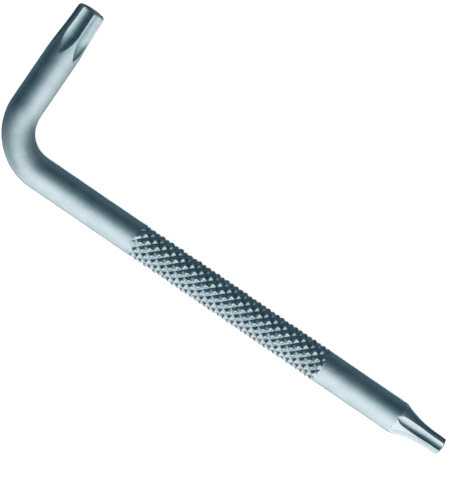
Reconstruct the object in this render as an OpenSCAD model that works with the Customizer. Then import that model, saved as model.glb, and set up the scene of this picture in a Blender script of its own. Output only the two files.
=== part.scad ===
// Star key: a bent steel bar with a six-lobed star at each end and a diamond knurl on its long arm.
// The key lies flat, with the long arm along +X, the short arm along +Y and the floor at z = 0.
// Its origin is the middle of its footprint.

/* [Bar] */
// Diameter of the plain round bar
bar_d = 5; // [4.7:0.1:6]
// Radius of the bend, on the bar's centre line
bend_r = 6.8; // [4:0.1:12]
// Plain length between the bend and the large tip
short_shank_length = 9; // [2:0.1:40]
// Plain length between the bend and the knurl
rear_shank_length = 16.2; // [2:0.1:60]
// Plain length between the knurl and the small tip
front_shank_length = 12.4; // [2:0.1:60]

/* [Knurl] */
// Length of the knurled stretch
knurl_length = 33.7; // [10:0.1:60]
// Number of grooves that wind round the bar each way
knurl_starts = 10; // [6:1:20]
// Angle between the grooves and the bar's axis, in degrees
knurl_angle = 44.5; // [30:0.5:60]
// Height of the diamonds' peaks above the plain bar
knurl_rise = 0.12; // [0.05:0.01:0.3]
// Depth of the grooves below the plain bar
knurl_depth = 0.34; // [0.05:0.01:0.4]
// Turn of the knurl's first row of diamonds, in degrees
knurl_lead = 1; // [0:0.5:18]
// Turn of the rows of diamonds from one end of the knurl to the other, in degrees
knurl_turn = 13.5; // [0:0.5:30]

/* [Large star] */
// Width of the large star across its lobes
large_star_w = 4.43; // [4.2:0.01:4.6]
// Width of the large star across its flutes
large_flute_w = 3.17; // [2.9:0.01:3.3]
// Radius of the large star's lobes, which sets the flutes' radius
large_lobe_r = 0.37; // [0.33:0.01:0.4]
// Length of the large star at its full width, from the tip's end
large_star_length = 2.3; // [1.2:0.1:6]
// Length over which the bar narrows to the large star
large_taper_length = 5.5; // [1:0.1:8]
// Length of the large flutes at their full depth
large_flute_length = 3; // [2:0.1:8]
// Radius along which the large flutes rise out of the bar
large_run_out_r = 10; // [4:0.1:20]
// Radius of the domed end of the large tip
large_dome_r = 5; // [2.6:0.1:12]
// Turn of the uppermost large flute towards the outside of the key, in degrees
large_flute_turn = 10; // [0:1:30]

/* [Small star] */
// Width of the small star across its lobes
small_star_w = 2.74; // [2.6:0.01:2.9]
// Width of the small star across its flutes
small_flute_w = 1.98; // [1.8:0.01:2.1]
// Radius of the small star's lobes, which sets the flutes' radius
small_lobe_r = 0.23; // [0.21:0.01:0.25]
// Length of the small star at its full width, from the tip's end
small_star_length = 1.8; // [0.8:0.1:5]
// Length of the hollow taper from the bar to the small star
small_taper_length = 5.9; // [2:0.1:12]
// Length of the small flutes at their full depth
small_flute_length = 3.1; // [1:0.1:8]
// Radius along which the small flutes rise out of the bar
small_run_out_r = 8.5; // [2.4:0.1:12]
// Radius of the domed end of the small tip
small_dome_r = 3.2; // [1.6:0.1:8]
// Turn of the uppermost small flute towards the short arm's side, in degrees
small_flute_turn = 2; // [0:1:30]

/* [Tips] */
// Plain bar between a shank and the points of the flutes, or the start of the taper if that comes first
land_length = 0.4; // [0.1:0.1:3]

/* [Hidden] */
$fn = 64;

bar_r = bar_d / 2;
flute_count = 6;
// How far cutting shapes run past the surface that they cut
overrun = 0.2;
// Width of a flute's walls where they leave its round floor, and at the bar's surface, by floor width
wall_foot_share = 0.9;
wall_top_share = 1.1;
// Straight steps along a domed end and along the hollow taper
dome_steps = 6;
taper_steps = 12;
steel = "#a9bac1";
knurled_steel = "#8598a1";

// The knurl is a lattice of half pitches: peaks and groove crossings take turns along and around it
lattice_angle = 180 / knurl_starts;
lattice_step = PI * bar_d / knurl_starts / tan(knurl_angle) / 2;
lattice_rows = round(knurl_length / lattice_step);
lattice_columns = 2 * knurl_starts;
peak_r = bar_r + knurl_rise;
groove_r = bar_r - knurl_depth;

// A tip holds its flutes with their run-out, and its star with the taper behind it
large_run_out = run_out_length(large_flute_w / 2, large_run_out_r);
large_tip_length = land_length
    + max(large_flute_length + large_run_out, large_star_length + large_taper_length);
small_run_out = run_out_length(small_flute_w / 2, small_run_out_r);
small_tip_length = land_length
    + max(small_flute_length + small_run_out, small_star_length + small_taper_length);

// Places along the arms, measured from the point where the two arms' axes cross
short_shank_y = bend_r;
large_tip_y = short_shank_y + short_shank_length;
large_end_y = large_tip_y + large_tip_length;
rear_shank_x = bend_r;
knurl_x = rear_shank_x + rear_shank_length;
front_shank_x = knurl_x + knurl_length;
small_tip_x = front_shank_x + front_shank_length;
small_end_x = small_tip_x + small_tip_length;

// Where the axes cross, so that the origin is the middle of the footprint, on the floor
cross = [(bar_r - small_end_x) / 2, (peak_r - large_end_y) / 2, peak_r];

// Radius of the round flutes that run smoothly into lobes of the given radius
function flute_radius(star_w, flute_w, lobe_r) =
    let (
        lobe_out = star_w / 2 - lobe_r,
        lobe_in = lobe_out * cos(180 / flute_count)
    )
    (lobe_out * lobe_out + flute_w * flute_w / 4 - lobe_r * lobe_r - flute_w * lobe_in)
    / (2 * lobe_r + 2 * lobe_in - flute_w);

// Length over which a flute rises from its floor to the bar's surface
function run_out_length(floor_r, run_out_r) =
    let (rise = bar_r - floor_r)
    sqrt(2 * run_out_r * rise - rise * rise);

// Half outline of a tip's domed end, from its side to the axis
function dome(radius, length, dome_r) = [
    for (step = [0 : dome_steps])
        let (out = radius * (1 - step / dome_steps))
        [out, length - dome_r + sqrt(dome_r * dome_r - out * out)]
];

// Radius of the hollow taper at a height above its wide foot: a circle that meets the star smoothly
function hollow_radius(height, length, foot_r, star_r) =
    let (
        drop = foot_r - star_r,
        hollow_r = (length * length + drop * drop) / (2 * drop)
    )
    star_r + hollow_r - sqrt(hollow_r * hollow_r - (length - height) * (length - height));

// A shape along +Z, laid along the long arm at a distance from where the axes cross
module on_long_arm(distance) {
    translate(cross + [distance, 0, 0])
        rotate([0, 90, 0])
            children();
}

// A shape along +Z, laid along the short arm at a distance from where the axes cross
module on_short_arm(distance) {
    translate(cross + [0, distance, 0])
        rotate([-90, 0, 0])
            children();
}

// Section of one flute, placed by the distance of its floor from the centre of the run-out
module flute_section(floor_r, flute_r, run_out_r) {
    centre = run_out_r - flute_r;
    top = min(run_out_r + floor_r - bar_r, centre) - overrun;
    translate([centre, 0])
        circle(r = flute_r);
    polygon([
        [centre, -wall_foot_share * flute_r],
        [centre, wall_foot_share * flute_r],
        [top, wall_top_share * flute_r],
        [top, -wall_top_share * flute_r]
    ]);
}

// One flute along a tip: straight from its end, then rising out of the bar
module flute(floor_r, flute_r, run_out_r, flute_length, tip_length) {
    sweep_x = floor_r + run_out_r;
    sweep_z = tip_length - flute_length;
    rise = bar_r + overrun - floor_r;
    translate([0, 0, sweep_z])
        linear_extrude(flute_length + overrun)
            translate([sweep_x, 0])
                mirror([1, 0])
                    flute_section(floor_r, flute_r, run_out_r);
    translate([sweep_x, 0, sweep_z])
        rotate([-90, 0, 180])
            rotate_extrude(angle = acos(1 - rise / run_out_r))
                flute_section(floor_r, flute_r, run_out_r);
}

// A turned tip, the first child, cut by its flute, the second, all round from a lead angle
module fluted_tip(lead) {
    difference() {
        children(0);
        for (index = [0 : flute_count - 1])
            rotate(lead + index * 360 / flute_count)
                children(1);
    }
}

module large_star_tip() {
    star_r = large_star_w / 2;
    taper_end = large_tip_length - large_star_length;
    flute_r = flute_radius(large_star_w, large_flute_w, large_lobe_r);
    color(steel)
        on_short_arm(large_tip_y)
            fluted_tip(-90 - large_flute_turn) {
                rotate_extrude()
                    polygon(concat(
                        [[0, 0], [bar_r, 0], [bar_r, taper_end - large_taper_length], [star_r, taper_end]],
                        dome(star_r, large_tip_length, large_dome_r)
                    ));
                flute(large_flute_w / 2, flute_r, large_run_out_r, large_flute_length, large_tip_length);
            }
}

module short_shank() {
    color(steel)
        on_short_arm(short_shank_y)
            cylinder(r = bar_r, h = short_shank_length);
}

module bend() {
    color(steel)
        translate(cross + [bend_r, bend_r, 0])
            rotate(180)
                rotate_extrude(angle = 90)
                    translate([bend_r, 0])
                        circle(r = bar_r);
}

module rear_shank() {
    color(steel)
        on_long_arm(rear_shank_x)
            cylinder(r = bar_r, h = rear_shank_length);
}

// Distance of a lattice point from the bar's axis: a peak or a groove, level with the bar at both ends
function lattice_radius(row, column) =
    row == 0 || row == lattice_rows ? bar_r
    : (row + column) % 2 == 0 ? peak_r
    : groove_r;

function lattice_point(row, column) =
    let (
        along = row / lattice_rows,
        around = lattice_angle * column + knurl_lead - knurl_turn * along,
        radius = lattice_radius(row, column)
    )
    [radius * cos(around), radius * sin(around), knurl_length * along];

function lattice_index(row, column) = row * lattice_columns + column % lattice_columns;

// Two triangles between four neighbouring points, split along the groove
function lattice_faces(row, column) =
    let (
        here = lattice_index(row, column),
        beside = lattice_index(row, column + 1),
        above = lattice_index(row + 1, column),
        across = lattice_index(row + 1, column + 1)
    )
    (row + column) % 2 == 0
        ? [[here, above, beside], [beside, above, across]]
        : [[here, across, beside], [here, above, across]];

module knurled_grip() {
    rows = [0 : lattice_rows - 1];
    columns = [0 : lattice_columns - 1];
    points = [
        for (row = [0 : lattice_rows], column = columns)
            lattice_point(row, column)
    ];
    sides = [
        for (row = rows, column = columns)
            each lattice_faces(row, column)
    ];
    foot = [for (column = columns) lattice_index(0, column)];
    head = [for (column = columns) lattice_index(lattice_rows, lattice_columns - 1 - column)];
    color(knurled_steel)
        on_long_arm(knurl_x)
            polyhedron(points, concat([foot, head], sides));
}

module front_shank() {
    color(steel)
        on_long_arm(front_shank_x)
            cylinder(r = bar_r, h = front_shank_length);
}

module small_star_tip() {
    star_r = small_star_w / 2;
    taper_end = small_tip_length - small_star_length;
    taper_start = taper_end - small_taper_length;
    flute_r = flute_radius(small_star_w, small_flute_w, small_lobe_r);
    taper = [
        for (step = [0 : taper_steps])
            let (height = small_taper_length * step / taper_steps)
            [hollow_radius(height, small_taper_length, bar_r, star_r), taper_start + height]
    ];
    color(steel)
        on_long_arm(small_tip_x)
            fluted_tip(180 - small_flute_turn) {
                rotate_extrude()
                    polygon(concat(
                        [[0, 0], [bar_r, 0]],
                        taper,
                        dome(star_r, small_tip_length, small_dome_r)
                    ));
                flute(small_flute_w / 2, flute_r, small_run_out_r, small_flute_length, small_tip_length);
            }
}

large_star_tip();
short_shank();
bend();
rear_shank();
knurled_grip();
front_shank();
small_star_tip();
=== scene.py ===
# Star key: the finish of a bent steel bar with a six-lobed star at each end and a knurled grip.
# The key lies flat, with the long arm along +X, the short arm along +Y and the floor at z = 0.
import math
from dataclasses import dataclass

import bmesh
import bpy
import numpy as np
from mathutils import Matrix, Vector


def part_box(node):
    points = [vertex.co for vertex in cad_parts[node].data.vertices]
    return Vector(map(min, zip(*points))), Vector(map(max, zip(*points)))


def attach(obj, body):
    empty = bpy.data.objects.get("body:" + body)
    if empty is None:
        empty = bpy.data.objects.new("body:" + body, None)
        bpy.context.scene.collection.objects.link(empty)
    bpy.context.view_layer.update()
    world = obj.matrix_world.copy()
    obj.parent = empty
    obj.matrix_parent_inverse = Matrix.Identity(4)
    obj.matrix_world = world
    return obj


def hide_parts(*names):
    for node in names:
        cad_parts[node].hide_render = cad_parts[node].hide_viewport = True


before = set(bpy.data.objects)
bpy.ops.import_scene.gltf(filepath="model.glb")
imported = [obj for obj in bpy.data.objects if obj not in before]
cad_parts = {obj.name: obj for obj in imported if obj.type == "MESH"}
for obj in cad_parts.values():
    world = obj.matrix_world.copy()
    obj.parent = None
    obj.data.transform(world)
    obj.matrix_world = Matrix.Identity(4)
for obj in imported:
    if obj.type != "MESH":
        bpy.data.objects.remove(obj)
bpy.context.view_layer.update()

MM = 0.001
UP = np.array([0.0, 0.0, 1.0])

# Points closer than this are one point, and edges sharper than this stay sharp
WELD = 0.0005 * MM
SHARP_ANGLE = math.radians(60)

# Flutes of both stars, and half the angle from one to the next
FLUTES = 6
SECTOR = math.pi / FLUTES
# Points on half a flute, on its rounded lip, and on half a lobe
FLUTE_POINTS = 10
LIP_POINTS = 6
LOBE_POINTS = 6
# Samples of the close path up half a flute, round its floor and along its wall
FLOOR_SAMPLES = 60
WALL_SAMPLES = 40
# Angle round a flute at which its round floor turns into straight walls
WALL_ANGLE = math.radians(80)
# Angle through which an arc lifts a ground flute out of the bar
RUN_OUT_ARC = math.radians(34.7)
# Rounding of a ground flute at its very point, as a share of its full rounding
POINT_SHARE = 0.02
# Powers that bend a pressed flute's sides inwards and that shape its point
CLOSING_POWER = 2
POINT_POWER = 0.85
# Handle of a curve that comes close to a round corner, as a share of the corner's reach
HANDLE_SHARE = 0.57
# Most of a wall or of half a lobe that its rounded lip may take
LIP_SHARE = 0.95
# Distance over which a worn edge fades into the surfaces beside it
WEAR_REACH = 0.1 * MM

# Rings of a tip before its flutes, along them and round its rim
BLANK_RINGS = 4
FLUTE_RINGS = 85
RIM_RINGS = 9
# Rings of a tip's dome outside and inside the edge where the flutes cut it
OUTER_DOME_RINGS = 8
INNER_DOME_RINGS = 9
# Close rings beside the flutes' points, as distances from them
POINT_STEPS = np.array([-0.02, 0, 0.004, 0.015, 0.035, 0.06, 0.09]) * MM
# Close rings beside the flutes' edge in the dome, as shares of its radius
EDGE_SHARES = np.array([1.06, 1.03, 1.012, 1.004, 1.0006, 0.9994, 0.98])
# Places tried to find the flutes' points and their edge, and samples that soften a taper
SEARCH_SAMPLES = 4000
SOFT_SAMPLES = 15

# Points round the plain bar, and distance between its rings
BAR_POINTS = 192
BAR_STEP = 0.25 * MM
# Unevenness of the drawn bar: height, length and lobes of a wave that winds round it
WAVE_HEIGHT = 0.006 * MM
WAVE_LENGTH = 7 * MM
WAVE_LOBES = 2
# A second wave winds the other way, with its height and pace as shares of the first one's
CROSS_WAVE_HEIGHT_SHARE = 0.6
CROSS_WAVE_PACE_SHARE = 1.7
CROSS_WAVE_LOBES = 3
# Share by which the bend is flatter in its plane
BEND_FLAT_SHARE = 0.025

# Knurl: grooves each way round the bar, and rows along it
KNURL_STARTS = 10
KNURL_ROWS = 42
# Height of its peaks above the bar, and depth of its grooves below
KNURL_RISE = 0.12 * MM
KNURL_DEPTH = 0.34 * MM
# Turn of its first row, and further turn to its last
KNURL_LEAD = math.radians(1)
KNURL_TURN = math.radians(13.5)
# Grid cells across half a diamond
KNURL_CELLS = 9
# Rounding of the grooves, ridges and peaks, as shares of the knurl's height
GROOVE_ROUND_SHARE = 0.2
RIDGE_ROUND_SHARE = 0.1
PEAK_ROUND_SHARE = 0.22
# Lengths over which the knurl deepens behind the bend and towards the small star
KNURL_REAR_FADE = 1.7 * MM
KNURL_FRONT_FADE = 1.1 * MM
# Unevenness of where it starts: height of a wave round the bar, and its start in radians
FADE_WAVE = 0.15 * MM
FADE_WAVE_START = 0.4
# A second wave there: its height as a share of the first one's, its lobes and its start
FADE_CROSS_SHARE = 0.5
FADE_CROSS_LOBES = 3
FADE_CROSS_START = 1.3
# Unevenness of the diamonds' heights as a share, the lowest height drawn, and the seed of the draw
KNURL_UNEVEN_SHARE = 0.1
KNURL_LOWEST = -2
KNURL_SEED = 7
# Spare rows and columns of drawn heights
KNURL_SPARE = 2


@dataclass(frozen=True)
class PressedFlute:
    """A flute pressed by a die: round across, and closing in to a point with steeper walls."""
    # Half the width across the lips, at the star and at the widest place
    star_half_w: float
    wide_half_w: float
    # Slope of the walls at the lips, at the star, at the widest place and at the point
    star_slope: float
    wide_slope: float
    point_slope: float
    # Distances from the end to where the star stops, to the widest place and to the point
    star_length: float
    wide_length: float
    length: float

    def section(self, from_end, radius):
        """Distance of the floor from the axis, and rounding of the floor."""
        ends = (self.star_length, self.wide_length)
        half_w = np.interp(from_end, ends, (self.star_half_w, self.wide_half_w))
        slopes = (self.star_slope, self.wide_slope, self.point_slope)
        slope = np.interp(from_end, (*ends, self.length), slopes)
        closing = np.clip((from_end - self.wide_length) / (self.length - self.wide_length), 0, 1)
        half_w = half_w * (1 - closing ** CLOSING_POWER) ** POINT_POWER
        floor_r = np.sqrt(radius ** 2 - half_w ** 2) - half_w * np.tan(slope / 2)
        return floor_r, half_w / np.sin(slope)


@dataclass(frozen=True)
class GroundFlute:
    """A flute cut by a wheel: level from the end, then rising out of the bar along an arc."""
    # Distance of the level floor from the axis, and rounding of the floor
    floor_r: float
    round_r: float
    # Lengths of the level stretch and of the run-out
    level_length: float
    run_out: float
    # Length over which the flute widens from its point
    point_length: float

    def section(self, from_end, radius):
        """Distance of the floor from the axis, and rounding of the floor."""
        share = np.clip((from_end - self.level_length) / self.run_out, 0, 1)
        rise = (1 - np.cos(np.arcsin(share * math.sin(RUN_OUT_ARC)))) / (1 - math.cos(RUN_OUT_ARC))
        left = (self.level_length + self.run_out - from_end) / self.point_length
        return self.floor_r + (bar_r - self.floor_r) * rise, self.round_r * np.clip(left, POINT_SHARE, 1)


@dataclass(frozen=True)
class Tip:
    """Sizes of a fluted tip."""
    flute: PressedFlute | GroundFlute
    # Width across the lobes, lengths of the straight star and of its taper, and radius of the dome
    star_w: float
    star_length: float
    taper_length: float
    dome_r: float
    # Turn of the uppermost flute, towards the arm's own side
    turn: float
    # Rounding of the end's rim, of the flutes' floors at the end, and of the edge where the taper starts
    rim_r: float
    end_round: float
    taper_soft: float
    # Reach of the rounded lips along the star and along the flutes' run-out
    star_lip: float
    run_out_lip: float
    # Whether the taper is a hollow arc or straight
    hollow: bool


LARGE_TIP = Tip(
    flute=PressedFlute(
        star_half_w=0.94 * MM, wide_half_w=1.04 * MM,
        star_slope=math.radians(48), wide_slope=math.radians(45), point_slope=math.radians(70),
        star_length=2.3 * MM, wide_length=4.5 * MM, length=8.05 * MM,
    ),
    star_w=4.43 * MM, star_length=2.3 * MM, taper_length=5.5 * MM, dome_r=9 * MM, turn=math.radians(10),
    rim_r=0.6 * MM, end_round=0.65 * MM, taper_soft=0.8 * MM, star_lip=0.16 * MM, run_out_lip=0.07 * MM,
    hollow=False,
)
SMALL_TIP = Tip(
    flute=GroundFlute(
        floor_r=0.99 * MM, round_r=0.9 * MM, level_length=3.15 * MM, run_out=4.84 * MM,
        point_length=0.8 * MM,
    ),
    star_w=2.74 * MM, star_length=1.8 * MM, taper_length=5.9 * MM, dome_r=3.2 * MM, turn=math.radians(2),
    rim_r=0.16 * MM, end_round=0.12 * MM, taper_soft=0.15 * MM, star_lip=0.16 * MM, run_out_lip=0.05 * MM,
    hollow=True,
)


class Arm:
    """A straight axis of the bar. Angles round it start at the top and turn towards its side."""

    def __init__(self, origin, along, side):
        self.origin = np.array(origin)
        self.along = np.array(along)
        self.side = np.array(side)

    def points(self, radius, angle, distance):
        """Points at a radius and an angle round the arm, at a distance along it."""
        up_part = (radius * np.cos(angle))[..., None] * UP
        side_part = (radius * np.sin(angle))[..., None] * self.side
        return self.origin + distance[..., None] * self.along + up_part + side_part


# The arms and the pieces along them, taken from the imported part
short_low, short_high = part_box("short_shank")
rear_low, rear_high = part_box("rear_shank")
knurl_low, knurl_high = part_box("knurled_grip")
front_low, front_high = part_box("front_shank")
small_low, small_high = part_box("small_star_tip")
large_low, large_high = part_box("large_star_tip")
bar_r = (short_high.x - short_low.x) / 2
cross = Vector((
    (short_low.x + short_high.x) / 2,
    (rear_low.y + rear_high.y) / 2,
    (rear_low.z + rear_high.z) / 2,
))
bend_r = rear_low.x - cross.x
long_arm = Arm(cross, (1.0, 0.0, 0.0), (0.0, 1.0, 0.0))
short_arm = Arm(cross, (0.0, 1.0, 0.0), (-1.0, 0.0, 0.0))


def closed_mesh(name, rings, values):
    """A closed mesh through rings of points, with flat caps and with named values on its points."""
    count, around = rings.shape[:2]
    index = np.arange(count * around).reshape(count, around)
    beside = np.roll(index, -1, axis=1)
    sides = np.stack([index[:-1], beside[:-1], beside[1:], index[1:]], axis=-1).reshape(-1, 4)
    faces = sides.tolist() + [index[0][::-1].tolist(), index[-1].tolist()]
    mesh = bpy.data.meshes.new(name)
    mesh.from_pydata(rings.reshape(-1, 3).tolist(), [], faces)
    for key, value in values.items():
        layer = mesh.attributes.new(key, "FLOAT", "POINT")
        layer.data.foreach_set("value", np.broadcast_to(value, (count, around)).astype(np.float32).ravel())
    shape = bmesh.new()
    shape.from_mesh(mesh)
    bmesh.ops.remove_doubles(shape, verts=shape.verts, dist=WELD)
    bmesh.ops.recalc_face_normals(shape, faces=shape.faces)
    shape.to_mesh(mesh)
    shape.free()
    mesh.shade_smooth()
    mesh.set_sharp_from_angle(angle=SHARP_ANGLE)
    return mesh


def piece(mesh, node, material):
    """A mesh as a piece of the key that stands for a node of the part."""
    made = bpy.data.objects.new(mesh.name, mesh)
    bpy.context.scene.collection.objects.link(made)
    mesh.materials.append(material)
    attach(made, "root")
    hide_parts(node)
    return made


def uneven(distance, angle, length):
    """Slight unevenness of the drawn bar, never above its radius, which dies away at a piece's ends."""
    share = np.clip(distance / length, 0, 1)
    fade = np.sin(math.pi * share) ** 2
    turns = 2 * math.pi * distance / WAVE_LENGTH
    wave = np.sin(turns + WAVE_LOBES * angle)
    cross_wave = CROSS_WAVE_HEIGHT_SHARE * np.sin(CROSS_WAVE_PACE_SHARE * turns - CROSS_WAVE_LOBES * angle)
    highest = 1 + CROSS_WAVE_HEIGHT_SHARE
    return WAVE_HEIGHT * fade * (wave + cross_wave - highest)


def all_round_bar(places):
    """A grid of places along the bar and angles round it."""
    angles = np.linspace(0, 2 * math.pi, BAR_POINTS, endpoint=False)
    return np.meshgrid(places, angles, indexing="ij")


def shank(name, arm, start, end):
    """A plain piece of drawn bar."""
    length = end - start
    count = max(2, round(length / BAR_STEP)) + 1
    distance, angle = all_round_bar(np.linspace(0, length, count))
    radius = bar_r + uneven(distance, angle, length)
    return closed_mesh(name, arm.points(radius, angle, start + distance), {"wear": 0.0, "hollow": 0.0})


def bend(name):
    """The bar's bend, a little flatter in its plane half way round, with a painted sheen above and below.
    """
    length = bend_r * math.pi / 2
    count = round(length / BAR_STEP) + 1
    turn, angle = all_round_bar(np.linspace(0, math.pi / 2, count))
    radius = bar_r + uneven(bend_r * turn, angle, length)
    flat = 1 - BEND_FLAT_SHARE * np.sin(2 * turn) ** 2
    out = bend_r + radius * flat * np.sin(angle)
    rings = np.stack([
        cross.x + bend_r - out * np.cos(turn),
        cross.y + bend_r - out * np.sin(turn),
        cross.z + radius * np.cos(angle),
    ], axis=-1)
    # Where the painted sheen lies: half way round the bend, on its top and bottom
    painted_sheen = np.sin(2 * turn) * np.cos(angle) ** 2
    return closed_mesh(name, rings, {"wear": 0.0, "hollow": 0.0, "painted_sheen": painted_sheen})


def taper_radius(tip, height):
    """Radius of the turned blank at a height above the start of its taper."""
    star_r = tip.star_w / 2
    drop = bar_r - star_r
    if not tip.hollow:
        share = np.clip(height / tip.taper_length, 0, 1)
        return bar_r - drop * share
    left = np.clip(tip.taper_length - height, 0, tip.taper_length)
    hollow_r = (tip.taper_length ** 2 + drop ** 2) / (2 * drop)
    return star_r + hollow_r - np.sqrt(hollow_r ** 2 - left ** 2)


def softened(tip, height):
    """The blank's radius with the edges of its taper rounded, by averaging over a short length."""
    offsets = np.linspace(-tip.taper_soft, tip.taper_soft, SOFT_SAMPLES)
    return np.mean([taper_radius(tip, height + offset) for offset in offsets], axis=0)


def soft_low(value, rounding):
    """The size of a value, with its corner at zero rounded."""
    return np.sqrt(value ** 2 + rounding ** 2) - rounding


def flute_section(tip, from_end, radius):
    """A flute's floor, rounded over at the end, and the rounding across it, at distances from the end."""
    floor_r, round_r = tip.flute.section(from_end, np.maximum(radius, tip.star_w / 2))
    over = np.clip(1 - from_end / tip.end_round, 0, 1)
    return floor_r - tip.end_round * (1 - np.sqrt(1 - over ** 2)), round_r


def end_profile(tip, length):
    """Radius and height of the rounded rim and the dome, from the star's side to the axis."""
    star_r = tip.star_w / 2
    centre = length - tip.dome_r
    inner = tip.dome_r - tip.rim_r
    lean = math.asin((star_r - tip.rim_r) / inner)
    rim = np.linspace(math.pi / 2, lean, RIM_RINGS)
    rim_radius = star_r - tip.rim_r + tip.rim_r * np.sin(rim)
    rim_height = centre + inner * math.cos(lean) + tip.rim_r * np.cos(rim)
    widest = tip.dome_r * math.sin(lean)
    tried = np.linspace(0, widest, SEARCH_SAMPLES)
    floor_r, _ = flute_section(tip, tip.dome_r - np.sqrt(tip.dome_r ** 2 - tried ** 2), tried)
    edge = tried[np.argmax(floor_r < tried)] * EDGE_SHARES
    outside = np.linspace(widest, edge[0], OUTER_DOME_RINGS)[1:-1]
    inside = np.linspace(edge[-1], 0, INNER_DOME_RINGS)[1:]
    dome_radius = np.concatenate([outside, edge, inside])
    dome_height = centre + np.sqrt(tip.dome_r ** 2 - dome_radius ** 2)
    return np.concatenate([rim_radius, dome_radius]), np.concatenate([rim_height, dome_height])


def profile(tip, length):
    """Radius of the blank, height, flute floor and flute rounding at each ring of a tip."""
    end_radius, end_height = end_profile(tip, length)
    taper_start = length - tip.star_length - tip.taper_length
    tried = np.linspace(0, end_height[0], SEARCH_SAMPLES)
    blank = softened(tip, tried - taper_start)
    floor_r, _ = flute_section(tip, length - tried, blank)
    point = tried[np.argmax(floor_r < blank)] + POINT_STEPS
    before = np.linspace(0, point[0], BLANK_RINGS)[:-1]
    after = np.linspace(point[-1], end_height[0], FLUTE_RINGS)[1:-1]
    height = np.concatenate([before, point, after])
    radius = softened(tip, height - taper_start)
    height = np.concatenate([height, end_height])
    radius = np.concatenate([radius, end_radius])
    return radius, height, *flute_section(tip, length - height, radius)


def half_flute(floor_r, round_r):
    """A closely stepped path from a flute's middle up its wall: places, and distances along it."""
    centre = floor_r + round_r
    turn = np.linspace(0, WALL_ANGLE, FLOOR_SAMPLES)
    x = centre - round_r * np.cos(turn)
    y = round_r * np.sin(turn)
    wall = np.linspace(0, bar_r, WALL_SAMPLES)[1:]
    x = np.concatenate([x, x[-1] + wall * math.sin(WALL_ANGLE)])
    y = np.concatenate([y, y[-1] + wall * math.cos(WALL_ANGLE)])
    along = np.concatenate([[0], np.cumsum(np.hypot(np.diff(x), np.diff(y)))])
    return x, y, along


def lip_curve(start, aim, end, end_aim, reach):
    """Points between the two ends of a rounded lip, as rows, and their shares of the way along it."""
    share = np.linspace(0, 1, LIP_POINTS + 1)[1:-1, None]
    start_handle = start + aim * HANDLE_SHARE * reach
    end_handle = end - end_aim * HANDLE_SHARE * reach
    curve = (
        (1 - share) ** 3 * start
        + 3 * (1 - share) ** 2 * share * start_handle
        + 3 * (1 - share) * share ** 2 * end_handle
        + share ** 3 * end
    )
    return curve, share[:, 0]


def half_sector(radius, floor_r, round_r, lip):
    """Radius, angle, nearness to the lip and depth in the flute, from a flute's middle to a lobe's."""
    if floor_r >= radius:
        count = FLUTE_POINTS + LIP_POINTS + LOBE_POINTS + 1
        return np.full(count, radius), np.linspace(0, SECTOR, count), np.zeros(count), np.zeros(count)
    x, y, along = half_flute(floor_r, round_r)
    lip_along = np.interp(radius, np.hypot(x, y), along)
    lip_angle = math.atan2(np.interp(lip_along, along, y), np.interp(lip_along, along, x))
    reach = LIP_SHARE * min(lip, lip_along, radius * (SECTOR - lip_angle))
    flute_along = np.linspace(0, lip_along - reach, FLUTE_POINTS + 1)
    flute_x = np.interp(flute_along, along, x)
    flute_y = np.interp(flute_along, along, y)
    start = np.array([flute_x[-1], flute_y[-1]])
    ahead = lip_along - reach / 2
    aim = np.array([np.interp(ahead, along, x), np.interp(ahead, along, y)]) - start
    aim /= np.linalg.norm(aim)
    lobe_angle = np.linspace(lip_angle + reach / radius, SECTOR, LOBE_POINTS + 1)
    lobe_x = radius * np.cos(lobe_angle)
    lobe_y = radius * np.sin(lobe_angle)
    end = np.array([lobe_x[0], lobe_y[0]])
    end_aim = np.array([-math.sin(lobe_angle[0]), math.cos(lobe_angle[0])])
    curve, share = lip_curve(start, aim, end, end_aim, reach)
    all_x = np.concatenate([flute_x, curve[:, 0], lobe_x])
    all_y = np.concatenate([flute_y, curve[:, 1], lobe_y])
    flute_away = lip_along - reach - flute_along
    lobe_away = radius * (lobe_angle - lobe_angle[0])
    away = np.concatenate([flute_away, np.zeros(len(curve)), lobe_away])
    depth = np.concatenate([np.ones(len(flute_x)), 1 - share, np.zeros(len(lobe_x))])
    return np.hypot(all_x, all_y), np.arctan2(all_y, all_x), np.exp(-away / WEAR_REACH), depth


def all_round(half):
    """Half a sector's values, mirrored and repeated all round."""
    sector = np.concatenate([half[:0:-1], half[:-1]])
    return np.tile(sector, FLUTES)


def all_round_angle(half, turn):
    """Half a sector's angles, mirrored and turned on from flute to flute."""
    sector = np.concatenate([-half[:0:-1], half[:-1]])
    return np.concatenate([sector + turn + 2 * SECTOR * flute for flute in range(FLUTES)])


def fluted_tip(name, tip, arm, start, end):
    """A turned tip with six flutes that run out into the bar, rounded lips and a domed end."""
    length = end - start
    rings, wear, hollow = [], [], []
    lip_ends = (tip.star_length, tip.star_length + tip.taper_length / 2)
    for radius, height, floor_r, round_r in zip(*profile(tip, length)):
        lip = np.interp(length - height, lip_ends, (tip.star_lip, tip.run_out_lip))
        half_radius, half_angle, half_wear, half_depth = half_sector(radius, floor_r, round_r, lip)
        angle = all_round_angle(half_angle, tip.turn)
        rings.append(arm.points(all_round(half_radius), angle, np.full_like(angle, start + height)))
        wear.append(all_round(half_wear))
        # Depth in the flute, where the steel is darkened as painted shade
        hollow.append(all_round(half_depth))
    return closed_mesh(name, np.array(rings), {"wear": np.array(wear), "hollow": np.array(hollow)})


def between_grooves(place):
    """Height at a place across grooves that lie half way between whole places, as a share."""
    return soft_low(1 - 2 * np.abs(place - np.round(place)), GROOVE_ROUND_SHARE)


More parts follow.
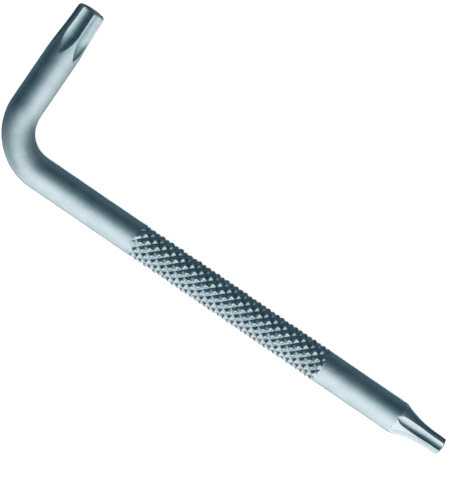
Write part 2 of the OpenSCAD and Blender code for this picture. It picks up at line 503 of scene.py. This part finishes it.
def diamonds(row, column):
    """Height of the knurl's diamonds above its grooves, as a share, with uneven peaks."""
    one_rise = between_grooves((row + column) / 2)
    other_rise = between_grooves((row - column) / 2)
    rise = (one_rise + other_rise - soft_low(one_rise - other_rise, RIDGE_ROUND_SHARE)) / 2
    rise = rise - soft_low(np.clip(rise - 1 + 2 * PEAK_ROUND_SHARE, 0, None), PEAK_ROUND_SHARE)
    rise = rise / rise.max()
    columns = 2 * KNURL_STARTS
    draw = np.random.default_rng(KNURL_SEED)
    lifts = draw.normal(0, 1, (KNURL_ROWS + KNURL_SPARE, columns + KNURL_SPARE))
    lift = lifts[np.round(row).astype(int), np.round(column).astype(int) % columns]
    return rise * (1 + KNURL_UNEVEN_SHARE * np.clip(lift, KNURL_LOWEST, 0))


def knurl_fade(distance, angle, length):
    """Share of its full depth that the knurl has, which grows unevenly from both ends."""
    wave = np.sin(angle + FADE_WAVE_START)
    cross_wave = FADE_CROSS_SHARE * np.sin(FADE_CROSS_LOBES * angle + FADE_CROSS_START)
    late = np.abs(FADE_WAVE * (wave + cross_wave))
    rear = (distance - late) / KNURL_REAR_FADE
    front = (length - distance - late) / KNURL_FRONT_FADE
    share = np.clip(np.minimum(rear, front), 0, 1)
    return share * share * (3 - 2 * share)


def knurl(name):
    """A rolled diamond knurl that fades out at both ends."""
    length = knurl_high.x - knurl_low.x
    rows = np.arange(KNURL_ROWS * KNURL_CELLS + 1) / KNURL_CELLS
    columns = np.arange(2 * KNURL_STARTS * KNURL_CELLS) / KNURL_CELLS
    row, column = np.meshgrid(rows, columns, indexing="ij")
    rise = diamonds(row, column)
    distance = row / KNURL_ROWS * length
    angle = math.pi - column * math.pi / KNURL_STARTS - KNURL_LEAD + KNURL_TURN * row / KNURL_ROWS
    fade = knurl_fade(distance, angle, length)
    height = np.minimum(rise * (KNURL_RISE + KNURL_DEPTH) - fade * KNURL_DEPTH, fade * KNURL_RISE)
    rings = long_arm.points(bar_r + height, angle, knurl_low.x - cross.x + distance)
    # All of the knurl takes the darker hollow tone as painted shade, and the wear lifts its peaks again
    return closed_mesh(name, rings, {"wear": rise * fade, "hollow": fade})


# Places of the colour sockets on a mixing node, which share their names with others there
MIX_COLOURS = (6, 7)
MIX_RESULT = 2


class Nodes:
    """Short calls for making a node tree."""

    def __init__(self, tree):
        self.tree = tree

    def add(self, kind, **settings):
        """A node of a kind, with its settings."""
        made = self.tree.nodes.new(kind)
        for key, value in settings.items():
            setattr(made, key, value)
        return made

    def link(self, source, target):
        """A link from one socket to another."""
        self.tree.links.new(source, target)


def span(nodes, value, source, target):
    """A value taken from one range to another."""
    made = nodes.add("ShaderNodeMapRange")
    made.inputs["From Min"].default_value, made.inputs["From Max"].default_value = source
    made.inputs["To Min"].default_value, made.inputs["To Max"].default_value = target
    nodes.link(value, made.inputs["Value"])
    return made.outputs["Result"]


def mixed(nodes, share, one, other):
    """A colour between two, each a socket or a tone, by a share."""
    made = nodes.add("ShaderNodeMix", data_type="RGBA")
    nodes.link(share, made.inputs["Factor"])
    for place, colour in zip(MIX_COLOURS, (one, other)):
        if isinstance(colour, tuple):
            made.inputs[place].default_value = (*colour, 1)
        else:
            nodes.link(colour, made.inputs[place])
    return made.outputs[MIX_RESULT]


def maths(nodes, operation, one, other):
    """Two values, each a socket or a number, put together."""
    made = nodes.add("ShaderNodeMath", operation=operation)
    for socket, value in zip(made.inputs, (one, other)):
        if isinstance(value, (int, float)):
            socket.default_value = value
        else:
            nodes.link(value, socket)
    return made.outputs[0]


def towards(nodes, vector, direction):
    """How far a vector points in a direction."""
    made = nodes.add("ShaderNodeVectorMath", operation="DOT_PRODUCT")
    made.inputs[1].default_value = direction
    nodes.link(vector, made.inputs[0])
    return made.outputs["Value"]


def scaled(nodes, tone, share):
    """A colour times a share."""
    made = nodes.add("ShaderNodeVectorMath", operation="SCALE")
    nodes.link(tone, made.inputs[0])
    nodes.link(share, made.inputs["Scale"])
    return made.outputs["Vector"]


def attribute(nodes, name):
    """A named value of the mesh's points."""
    return nodes.add("ShaderNodeAttribute", attribute_name=name).outputs["Fac"]


def bumped(nodes, height, depth, normal=None):
    """A bump of a real depth, on top of another where one is given."""
    made = nodes.add("ShaderNodeBump")
    made.inputs["Distance"].default_value = depth
    made.inputs["Strength"].default_value = 1
    nodes.link(height, made.inputs["Height"])
    if normal is not None:
        nodes.link(normal, made.inputs["Normal"])
    return made.outputs["Normal"]


@dataclass(frozen=True)
class Noise:
    """Noise in the steel: the real length of its features, their detail and how rough that is."""
    length: float
    detail: float
    roughness: float

    def value(self, nodes, place):
        """The noise at a place."""
        made = nodes.add("ShaderNodeTexNoise")
        made.inputs["Scale"].default_value = 1 / self.length
        made.inputs["Detail"].default_value = self.detail
        made.inputs["Roughness"].default_value = self.roughness
        nodes.link(place, made.inputs["Vector"])
        return made.outputs["Fac"]


@dataclass(frozen=True)
class Finish:
    """Look of a steel surface."""
    # Tones of plain steel, of worn edges and of hollows, which are darkened as painted shade
    plain: tuple
    worn: tuple
    hollow: tuple
    # Roughness at both ends of the mottle, and what wear and hollows add to it
    rough: tuple
    worn_rough: float
    hollow_rough: float


# Broad clouds, fine blasted grain and pits
CLOUDS = Noise(length=2.6 * MM, detail=4, roughness=0.6)
GRAIN = Noise(length=0.16 * MM, detail=3, roughness=0.6)
PITS = Noise(length=0.6 * MM, detail=2, roughness=0.5)
GRAIN_DEPTH = 0.006 * MM
PIT_DEPTH = 0.014 * MM
# Range of the mottle, which is clouds and grain together, and shares of the tone at its ends
MOTTLE_RANGE = (0.7, 1.3)
MOTTLE_TONE_SHARES = (0.86, 1.14)
# Range of the grain, and shares of the wear that it lets through at its ends
GRAIN_RANGE = (0.3, 0.7)
GRAIN_WEAR_SHARES = (0.5, 1)
# Paler tone painted on the bend's top and bottom as a painted sheen, and the share of mirror lost there
PAINTED_SHEEN_COLOUR = (0.86, 0.93, 0.97)
PAINTED_SHEEN_DULL_SHARE = 0.08

SATIN = Finish(
    plain=(0.71, 0.80, 0.84), worn=(0.80, 0.87, 0.90), hollow=(0.64, 0.74, 0.78),
    rough=(0.30, 0.40), worn_rough=-0.06, hollow_rough=-0.08,
)
# The knurl's dark hollow tone is painted shade
KNURLED = Finish(
    plain=(0.71, 0.80, 0.84), worn=(0.74, 0.81, 0.84), hollow=(0.48, 0.57, 0.61),
    rough=(0.30, 0.40), worn_rough=-0.03, hollow_rough=-0.12,
)


def steel(name, finish, with_painted_sheen=False):
    """Satin plated steel: mottled tone, fine blasted grain, brighter worn edges and hollows darkened as
    painted shade.
    """
    material = bpy.data.materials.new(name)
    material.use_nodes = True
    nodes = Nodes(material.node_tree)
    shader = material.node_tree.nodes["Principled BSDF"]
    shader.inputs["Metallic"].default_value = 1
    place = nodes.add("ShaderNodeTexCoord").outputs["Object"]
    clouds = CLOUDS.value(nodes, place)
    grain = GRAIN.value(nodes, place)
    pits = PITS.value(nodes, place)
    mottle = maths(nodes, "ADD", clouds, grain)
    hollow = attribute(nodes, "hollow")
    # Hollows are darkened here: painted shade
    tone = mixed(nodes, hollow, finish.plain, finish.hollow)
    # The bend's paler painted sheen, with a little less mirror there
    if with_painted_sheen:
        painted_sheen = attribute(nodes, "painted_sheen")
        tone = mixed(nodes, painted_sheen, tone, PAINTED_SHEEN_COLOUR)
        metal = maths(nodes, "SUBTRACT", 1, maths(nodes, "MULTIPLY", painted_sheen, PAINTED_SHEEN_DULL_SHARE))
        nodes.link(metal, shader.inputs["Metallic"])
    grain_wear = span(nodes, grain, GRAIN_RANGE, GRAIN_WEAR_SHARES)
    wear = maths(nodes, "MULTIPLY", attribute(nodes, "wear"), grain_wear)
    tone = mixed(nodes, wear, tone, finish.worn)
    tone = scaled(nodes, tone, span(nodes, mottle, MOTTLE_RANGE, MOTTLE_TONE_SHARES))
    nodes.link(tone, shader.inputs["Base Color"])
    rough = span(nodes, mottle, MOTTLE_RANGE, finish.rough)
    rough = maths(nodes, "ADD", rough, maths(nodes, "MULTIPLY", wear, finish.worn_rough))
    rough = maths(nodes, "ADD", rough, maths(nodes, "MULTIPLY", hollow, finish.hollow_rough))
    nodes.link(rough, shader.inputs["Roughness"])
    normal = bumped(nodes, pits, PIT_DEPTH)
    normal = bumped(nodes, grain, GRAIN_DEPTH, normal)
    nodes.link(normal, shader.inputs["Normal"])
    return material


satin_steel = steel("satin_steel", SATIN)
# The bend's steel, with a painted sheen on it
painted_sheen_steel = steel("painted_sheen_steel", SATIN, with_painted_sheen=True)
knurled_steel = steel("knurled_steel", KNURLED)

# Pieces of the key
piece(
    fluted_tip("large_star_tip_steel", LARGE_TIP, short_arm, large_low.y - cross.y, large_high.y - cross.y),
    "large_star_tip", satin_steel,
)
piece(
    shank("short_shank_steel", short_arm, short_low.y - cross.y, short_high.y - cross.y),
    "short_shank", satin_steel,
)
piece(bend("bend_steel"), "bend", painted_sheen_steel)
piece(
    shank("rear_shank_steel", long_arm, rear_low.x - cross.x, rear_high.x - cross.x),
    "rear_shank", satin_steel,
)
piece(knurl("knurled_grip_steel"), "knurled_grip", knurled_steel)
piece(
    shank("front_shank_steel", long_arm, front_low.x - cross.x, front_high.x - cross.x),
    "front_shank", satin_steel,
)
piece(
    fluted_tip("small_star_tip_steel", SMALL_TIP, long_arm, small_low.x - cross.x, small_high.x - cross.x),
    "small_star_tip", satin_steel,
)

# Camera: straight down on the key, turned so that the long arm falls to the lower right
LEAN = math.radians(34.32)
LENS = 400
SENSOR = 36
FARTHEST = 10
# Height of the image in pixels, and the real size of one on the key
IMAGE_HEIGHT = 480
PIXEL = 0.1445 * MM
# Pixels from the crossing of the arms to the image's centre, along and across the long arm
CENTRE_ALONG = 249.57
CENTRE_ACROSS = 56.75

camera_data = bpy.data.cameras.new("camera")
camera_data.lens = LENS
camera_data.sensor_width = SENSOR
camera_data.clip_end = FARTHEST
camera = bpy.data.objects.new("camera", camera_data)
bpy.context.scene.collection.objects.link(camera)
bpy.context.scene.camera = camera
image_centre = cross + Vector((CENTRE_ALONG, CENTRE_ACROSS, 0)) * PIXEL
camera.location = image_centre + Vector((0, 0, IMAGE_HEIGHT * PIXEL * LENS / SENSOR))
camera.rotation_euler = (0, 0, LEAN)

# Floor: plain, pale and quite dull
FLOOR_HALF_W = 1.5
FLOOR_COLOUR = (0.9, 0.9, 0.9, 1)

floor_sides = ((-1, -1), (1, -1), (1, 1), (-1, 1))
floor_corners = [(x * FLOOR_HALF_W, y * FLOOR_HALF_W, 0) for x, y in floor_sides]
floor_mesh = bpy.data.meshes.new("floor")
floor_mesh.from_pydata(floor_corners, [], [range(len(floor_corners))])
floor = bpy.data.objects.new("floor", floor_mesh)
bpy.context.scene.collection.objects.link(floor)
floor_material = bpy.data.materials.new("pale_floor")
floor_material.use_nodes = True
floor_shader = floor_material.node_tree.nodes["Principled BSDF"]
floor_shader.inputs["Base Color"].default_value = FLOOR_COLOUR
floor_shader.inputs["Roughness"].default_value = 1
floor_shader.inputs["Specular IOR Level"].default_value = 0
floor_mesh.materials.append(floor_material)
floor.visible_glossy = False

# Studio light: a broad soft light low beyond the long arm's outer side, dim and cool on the other side
KEY_TILT = math.radians(67)
KEY_TURN = math.radians(39)
# Tones of the light all round, by the share of the way from the side facing away from it to its middle
LIGHT_TONES = (
    (0.13, (0.075, 0.125, 0.155)),
    (0.20, (0.024, 0.056, 0.078)),
    (0.27, (0.016, 0.042, 0.062)),
    (0.34, (0.038, 0.078, 0.104)),
    (0.50, (0.062, 0.105, 0.135)),
    (0.58, (0.14, 0.20, 0.22)),
    (0.70, (0.28, 0.41, 0.44)),
    (0.78, (0.69, 0.75, 0.76)),
    (0.85, (0.89, 0.96, 0.97)),
    (0.93, (1.07, 1.08, 1.08)),
)
# Light thrown back from below: its tones away from the lit side and on it, and the direction of that side
BELOW_DIM = (0.085, 0.135, 0.160)
BELOW_LIT = (0.90, 0.95, 0.96)
LIT_SIDE = (0.36, -0.65, 0)
# How far a direction leans to the lit side, or down, where these tones are full
LIT_SIDE_FULL = 0.6
BELOW_FULL = 0.6
# Strength and spread of the light from overhead
OVERHEAD_STRENGTH = 5
OVERHEAD_SPREAD = math.radians(50)

key_direction = Vector((
    math.sin(KEY_TURN) * math.sin(KEY_TILT),
    -math.cos(KEY_TURN) * math.sin(KEY_TILT),
    math.cos(KEY_TILT),
))
world = bpy.data.worlds.new("studio")
bpy.context.scene.world = world
world.use_nodes = True
sky = Nodes(world.node_tree)
direction = sky.add("ShaderNodeSeparateXYZ")
sky.link(sky.add("ShaderNodeTexCoord").outputs["Generated"], direction.inputs["Vector"])
level = sky.add("ShaderNodeCombineXYZ")
sky.link(direction.outputs["X"], level.inputs["X"])
sky.link(direction.outputs["Y"], level.inputs["Y"])
sky.link(maths(sky, "MAXIMUM", direction.outputs["Z"], 0), level.inputs["Z"])
facing = towards(sky, level.outputs["Vector"], key_direction)
ramp = sky.add("ShaderNodeValToRGB")
sky.link(span(sky, facing, (-1, 1), (0, 1)), ramp.inputs["Fac"])
stops = ramp.color_ramp.elements
for position, tone in LIGHT_TONES:
    stops.new(position).color = (*tone, 1)
stops.remove(stops[0])
stops.remove(stops[-1])
lit_side = span(sky, towards(sky, level.outputs["Vector"], LIT_SIDE), (0, LIT_SIDE_FULL), (0, 1))
below_tone = mixed(sky, lit_side, BELOW_DIM, BELOW_LIT)
below = span(sky, direction.outputs["Z"], (0, -BELOW_FULL), (0, 1))
background = world.node_tree.nodes["Background"]
sky.link(mixed(sky, below, ramp.outputs["Color"], below_tone), background.inputs["Color"])
pale = sky.add("ShaderNodeBackground")
pale.inputs["Color"].default_value = (1, 1, 1, 1)
pick = sky.add("ShaderNodeMixShader")
sky.link(sky.add("ShaderNodeLightPath").outputs["Is Camera Ray"], pick.inputs["Fac"])
sky.link(background.outputs["Background"], pick.inputs[1])
sky.link(pale.outputs["Background"], pick.inputs[2])
sky.link(pick.outputs["Shader"], world.node_tree.nodes["World Output"].inputs["Surface"])

overhead_data = bpy.data.lights.new("overhead", "SUN")
overhead_data.energy = OVERHEAD_STRENGTH
overhead_data.angle = OVERHEAD_SPREAD
overhead = bpy.data.objects.new("overhead", overhead_data)
overhead.visible_glossy = False
bpy.context.scene.collection.objects.link(overhead)

bpy.context.scene.view_settings.view_transform = "Standard"
